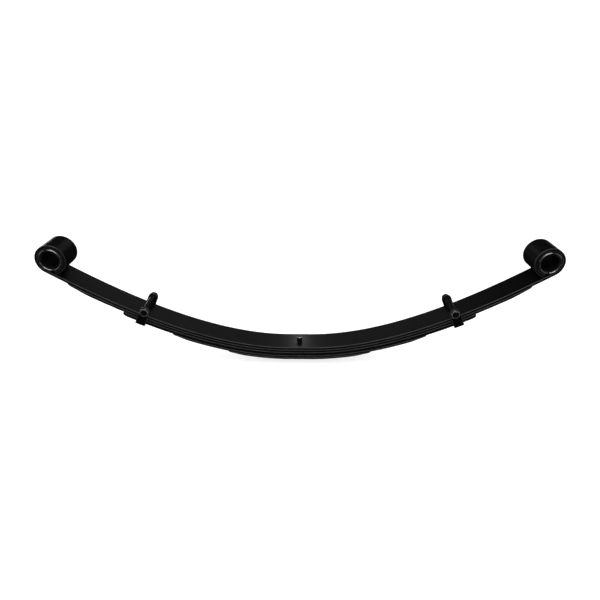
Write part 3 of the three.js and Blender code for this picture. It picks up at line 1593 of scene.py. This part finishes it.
@dataclass
class ReboundClip:
    """A strap bent round the pack, with a bolt, nut and spacer through its ears, riveted below.

    Args:
        side: Which end of the spring.
        pack: The leaves, for the clip's place.
        station: The clip's station.
        width: The strap's width along the leaf.
        thickness: The strap's thickness.
        clearance: Gap between a leaf's edge and the strap.
        inner_bend: Inner radius of the strap's two bends.
        bolt_height: Height of the bolt's axis over the main leaf.
        edge: Radius of the strap's edges.
        seat_depth: Depth of the strap's inner face below the main leaf's top.
        bolt_radius: Radius of the bolt.
        hole_play: Play of the bolt and the rivet in their holes.
        rivet_radius: Radius of the rivet's shank.
        rivet_head: Radius of the rivet's head.
        rivet_dome: Height of the rivet's head.
        rivet_grip: How far the rivet reaches up past the strap.
        nut_turn: How far round the nut is turned, in radians.
        bolt_chamfer: Chamfer of the bolt's end, and the plain length before its thread.
        spacer_radii: The spacer's inner and outer radius.
    """

    side: Side
    pack: LeafPack
    station: float = CLIP_STATION
    width: float = 22 * MM
    thickness: float = 5 * MM
    clearance: float = 0.6 * MM
    inner_bend: float = 1 * MM
    bolt_height: float = 12 * MM
    edge: float = 0.8 * MM
    seat_depth: float = 21.7 * MM
    bolt_radius: float = 5 * MM
    hole_play: float = 0.3 * MM
    rivet_radius: float = 4 * MM
    rivet_head: float = 8 * MM
    rivet_dome: float = 4 * MM
    rivet_grip: float = 8.7 * MM
    nut_turn: float = math.radians(17)
    bolt_chamfer: float = 1 * MM
    spacer_radii: Point2 = (5.4 * MM, 7 * MM)

    @cached_property
    def frame(self) -> Matrix:
        """From the clip's own frame (X along the leaf, Z square to it) to the spring's.

        Returns:
            The placing.
        """
        station = self.side.value * self.station
        tilt = self.pack.camber.tilt(station)
        height = self.pack.camber.height(station)
        return Matrix.Translation((station, 0.0, height)) @ Matrix.Rotation(-tilt, 4, "Y")

    @cached_property
    def inside(self) -> float:
        """Distance from the middle to the ears' inner faces."""
        return self.pack.half_width + self.clearance

    @cached_property
    def bend_start(self) -> float:
        """Distance along the strap from its middle to a bend."""
        return self.inside - self.inner_bend

    @cached_property
    def bend_length(self) -> float:
        """Length of a bend on the strap's inner face."""
        return self.inner_bend * math.pi / 2

    @cached_property
    def eye_place(self) -> float:
        """Distance along the strap from its middle to the bolt's hole."""
        rise = self.bolt_height + self.seat_depth - self.inner_bend
        return self.bend_start + self.bend_length + rise

    def blank_rings(self) -> list[Ring]:
        """Rings of the flat strap, with a round end about each bolt hole.

        Returns:
            The rings, from one ear's end to the other's.
        """
        half = self.width / 2
        bend_end = self.bend_start + self.bend_length
        places = stations([0.0, self.bend_start], 5 * MM)
        places += stations([self.bend_start, bend_end], self.bend_length / 8)[1:]
        places += stations([bend_end, self.eye_place], 4 * MM)[1:]
        arc_steps = 16

        def straight(sign: float, place: float) -> Ring:
            """A ring across the straight part."""
            return Ring(lambda inset: (sign * place, half - inset), 0.0, self.thickness, self.edge)

        def rounded(sign: float, turn: float) -> Ring:
            """A ring of the round end, whose rim stays concentric with the hole.

            Args:
                sign: 1 or -1, for the two ears.
                turn: The angle from the strap's length, in radians.

            Returns:
                The ring.
            """
            return Ring(
                lambda inset: (
                    sign * (self.eye_place + (half - inset) * math.sin(turn)),
                    (half - inset) * math.cos(turn),
                ),
                0.0,
                self.thickness,
                self.edge,
            )

        turns = [math.pi / 2 * (k + 1) / arc_steps for k in range(arc_steps)]
        right = [straight(1.0, p) for p in places] + [rounded(1.0, t) for t in turns]
        left = [straight(-1.0, p) for p in places[1:]] + [rounded(-1.0, t) for t in turns]
        return [*reversed(left), *right]

    def bend(self, point: Vector) -> Vector:
        """Takes a point of the flat blank to its place on the bent strap, in the clip's frame.

        Args:
            point: The point.

        Returns:
            Its place on the strap.
        """
        sign = math.copysign(1.0, point.x)
        along, depth = abs(point.x), -point.z
        floor = -self.seat_depth
        if along <= self.bend_start:
            across, up = along, floor - depth
        elif along <= self.bend_start + self.bend_length:
            turn = (along - self.bend_start) / self.inner_bend
            radius = self.inner_bend + depth
            across = self.bend_start + radius * math.sin(turn)
            up = floor + self.inner_bend - radius * math.cos(turn)
        else:
            across = self.inside + depth
            up = floor + self.inner_bend + along - self.bend_start - self.bend_length
        return Vector((point.y, sign * across, up))

    def strap(self, assembler: Assembler) -> None:
        """Makes the strap: cut flat, punched, then bent.

        Args:
            assembler: What dresses and fastens the pieces.
        """
        node = f"{self.side.label}_clip_strap"
        flat = FlatBar(self.blank_rings(), support=0.8 * MM, capped=(False, False))
        piece = flat.build(f"{node}_bent")
        bolt_hole = self.bolt_radius + self.hole_play
        ears = [(sign * self.eye_place, 0.0, bolt_hole) for sign in (1, -1)]
        punch(piece, [*ears, (0.0, 0.0, self.rivet_radius + self.hole_play)])
        note_grain(piece, assembler.grain_offset())
        where = self.frame
        reshape(piece, lambda point: where @ self.bend(point))
        turn_outwards(piece)
        assembler.fasten(piece, Role(node, "clip_paint", self.side.arm))

    def role(self, part: str, slot: str = "bolt_paint") -> Role:
        """Where one of the clip's pieces belongs."""
        return Role(f"{self.side.label}_clip_{part}", slot, self.side.arm)

    def fixings(self, assembler: Assembler) -> None:
        """Makes the bolt, the nut and the spacer.

        Args:
            assembler: What dresses and fastens the pieces.
        """
        bolt, nut, spacer = self.role("bolt"), self.role("nut"), self.role("spacer", "clip_paint")
        up = Matrix.Translation((0.0, 0.0, self.bolt_height))
        where = self.frame @ up @ QUARTER_TURN  # Z runs along the bolt, from the nut to the head
        outside = self.inside + self.thickness
        head_top, tail = (-corner.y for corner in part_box(bolt.node))

        hexagon = Hexagon(head_top - outside)
        head = [
            ((lambda angle, rule=rule: (rule(angle)[0], outside + rule(angle)[1])), edge_wear_and_highlight)
            for rule, edge_wear_and_highlight in reversed(hexagon.rows()[1:])
        ]
        shank = plain_rows([(self.bolt_radius, outside, 0.0), (self.bolt_radius, -outside, 0.0)])
        plain_end = -outside - self.bolt_chamfer
        thread = Thread(self.bolt_radius).rows(plain_end, tail, self.bolt_chamfer)
        assembler.turn(Turning([*head, *shank, *thread], HEX_STEPS), "hexagon", bolt, where)

        rows = Hexagon(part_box(nut.node)[1].y - outside).rows(self.bolt_radius + self.hole_play)
        flipped = where @ Matrix.Translation((0.0, 0.0, -outside)) @ Matrix.Rotation(
            math.pi, 4, "X"
        )
        turned = flipped @ Matrix.Rotation(self.nut_turn, 4, "Z")
        assembler.turn(Turning(rows, HEX_STEPS, tube=True), "hexagon", nut, turned)

        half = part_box(spacer.node)[1].y
        inner, outer = self.spacer_radii
        corners = [(inner, -half), (outer, -half), (outer, half), (inner, half)]
        rows = plain_rows(eased(corners, 0.35 * MM, closed=True))
        assembler.turn(Turning(rows, 72, tube=True), "tube", spacer, where)

    def rivet(self, assembler: Assembler) -> None:
        """Makes the rivet that holds the strap to the third leaf.

        Args:
            assembler: What dresses and fastens the pieces.
        """
        seat = -self.seat_depth - self.thickness
        top = self.rivet_grip - self.seat_depth
        rows = []
        dome_steps = 12
        for k in range(dome_steps + 1):
            turn = math.pi / 2 * k / dome_steps
            radius = self.rivet_head * math.sin(turn)
            rows.append((radius, seat - self.rivet_dome * math.cos(turn) ** 0.8, 0.3))
        rows += [
            (self.rivet_head, seat, 1.0),
            (self.rivet_radius, seat, 0.0),
            (self.rivet_radius, top, 0.0),
            (0.0, top, 0.0),
        ]
        assembler.turn(Turning(plain_rows(rows), 64), "domed", self.role("rivet"), self.frame)

    def build(self, assembler: Assembler) -> None:
        """Makes every piece of the clip.

        Args:
            assembler: What dresses and fastens the pieces.
        """
        self.strap(assembler)
        self.fixings(assembler)
        self.rivet(assembler)


def turn_outwards(piece: bpy.types.Object) -> None:
    """Turns every face of a closed piece outwards.

    Args:
        piece: The piece.
    """
    work = bmesh.new()
    work.from_mesh(piece.data)
    bmesh.ops.recalc_face_normals(work, faces=work.faces)
    work.to_mesh(piece.data)
    work.free()


# ---------------------------------------------------------------- studio


@dataclass(frozen=True)
class Softbox:
    """A rectangular soft light.

    Args:
        name: Its name.
        place: Where it hangs.
        target: What it points at.
        width: Its width.
        height: Its height.
        power: Its power in watts.
    """

    name: str
    place: tuple[float, float, float]
    target: tuple[float, float, float]
    width: float
    height: float
    power: float

    def hang(self) -> None:
        """Adds the light, hidden from the camera itself."""
        lamp = bpy.data.lights.new(self.name, "AREA")
        lamp.shape = "RECTANGLE"
        lamp.size, lamp.size_y = self.width, self.height
        lamp.energy = self.power
        holder = link(self.name, lamp)
        holder.location = self.place
        aim = Vector(self.target) - Vector(self.place)
        holder.rotation_euler = aim.to_track_quat("-Z", "Y").to_euler()
        holder.visible_camera = False


@dataclass
class Studio:
    """The floor, the lights, the even surround and the camera.

    Args:
        camera_place: Where the camera stands.
        camera_tip: How far it looks down, in degrees.
        camera_roll: How far it leans, in degrees.
        lens: Focal length in millimetres.
        sensor: Sensor width in millimetres.
        surround: Strength of the even light from all round.
        surround_gloss: Share of it that glossy surfaces reflect.
        floor_reach: Half the floor's size.
        boxes: The soft lights.
    """

    camera_place: tuple[float, float, float] = (0.0003, -1.0087, 0.6131)
    camera_tip: float = 26.637
    camera_roll: float = 0.365
    lens: float = 29.94
    sensor: float = 36.0
    surround: float = 1.2
    surround_gloss: float = 0.01
    floor_reach: float = 40.0
    boxes: Sequence[Softbox] = (
        Softbox("overhead", (0.0, -1.0, 2.4), (0.0, 0.0, 0.0), 2.6, 1.6, 36.0),
        Softbox("back_wide", (-0.15, 0.95, 0.62), (-0.05, 0.0, 0.06), 0.70, 0.32, 0.125),
        Softbox("back_narrow", (0.0, 0.20, 0.122), (0.0, 0.0, 0.0), 0.04, 0.05, 0.0095),
        Softbox("zenith", (0.0, 0.25, 2.2), (0.0, 0.0, 0.0), 2.2, 0.7, 6.0),
        Softbox("front_wide", (0.0, -1.35, 0.80), (0.0, 0.0, 0.0), 1.8, 0.45, 1.1),
        Softbox("left_side", (-1.7, -0.1, 0.55), (-0.5, 0.0, 0.1), 0.7, 0.7, 1.2),
        Softbox("right_side", (1.7, -0.1, 0.55), (0.5, 0.0, 0.1), 0.7, 0.7, 1.2),
        Softbox("left_glow", (-1.28, 1.16, 0.14), (-0.55, 0.0, 0.22), 0.60, 0.26, 1.4),
        Softbox("right_glow", (1.30, 1.16, 0.10), (0.55, 0.0, 0.22), 0.45, 0.20, 0.35),
    )

    def lay_floor(self) -> None:
        """Lays a plain pale floor under the lowest point of the spring."""
        level = CAD_BOX[0].z
        reach = self.floor_reach
        mesh = bpy.data.meshes.new("studio_floor")
        corners = [(-reach, -reach), (reach, -reach), (reach, reach), (-reach, reach)]
        mesh.from_pydata([(x, y, level) for x, y in corners], [], [[0, 1, 2, 3]])
        mesh.materials.append(Plaster().material())
        floor = link("studio_floor", mesh)
        floor.visible_glossy = False

    def light_surround(self) -> None:
        """Sets an even white surround that glossy surfaces hardly see."""
        world = bpy.data.worlds.new("surround")
        world.use_nodes = True
        bpy.context.scene.world = world
        bench = Bench(world.node_tree)
        glossy = bench.node("ShaderNodeLightPath", output="Is Glossy Ray")
        strength = self.surround * (1.0 - glossy * (1.0 - self.surround_gloss))
        sky = bench.node("ShaderNodeBackground", {}, {"Color": (1, 1, 1, 1), "Strength": strength})
        bench.node("ShaderNodeOutputWorld", {}, {"Surface": sky})

    def set_camera(self) -> None:
        """Stands the camera in front of the spring, looking slightly down."""
        data = bpy.data.cameras.new("camera")
        data.lens, data.sensor_width = self.lens, self.sensor
        data.clip_start, data.clip_end = 0.01, 200.0
        camera = link("camera", data)
        camera.location = self.camera_place
        tip = Matrix.Rotation(math.radians(90 - self.camera_tip), 3, "X")
        roll = Matrix.Rotation(math.radians(self.camera_roll), 3, "Z")
        camera.rotation_euler = (tip @ roll).to_euler()
        bpy.context.scene.camera = camera

    def build(self) -> None:
        """Builds the whole studio."""
        bpy.context.scene.view_settings.view_transform = "Standard"
        self.set_camera()
        self.lay_floor()
        self.light_surround()
        for box in self.boxes:
            box.hang()


def write_sizes() -> None:
    """Updates the view layer."""
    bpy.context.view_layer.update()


def main() -> None:
    """Builds the studio and the spring, piece by piece."""
    logging.basicConfig(level=logging.INFO, format="%(name)s: %(message)s")
    Studio().build()
    assembler = Assembler()
    pack = LeafPack()
    pack.build(assembler)
    CentreBolt().build(assembler)
    for side in Side:
        Bush(side, pack).build(assembler)
        ReboundClip(side, pack).build(assembler)
    write_sizes()


if __name__ == "__main__":
    main()
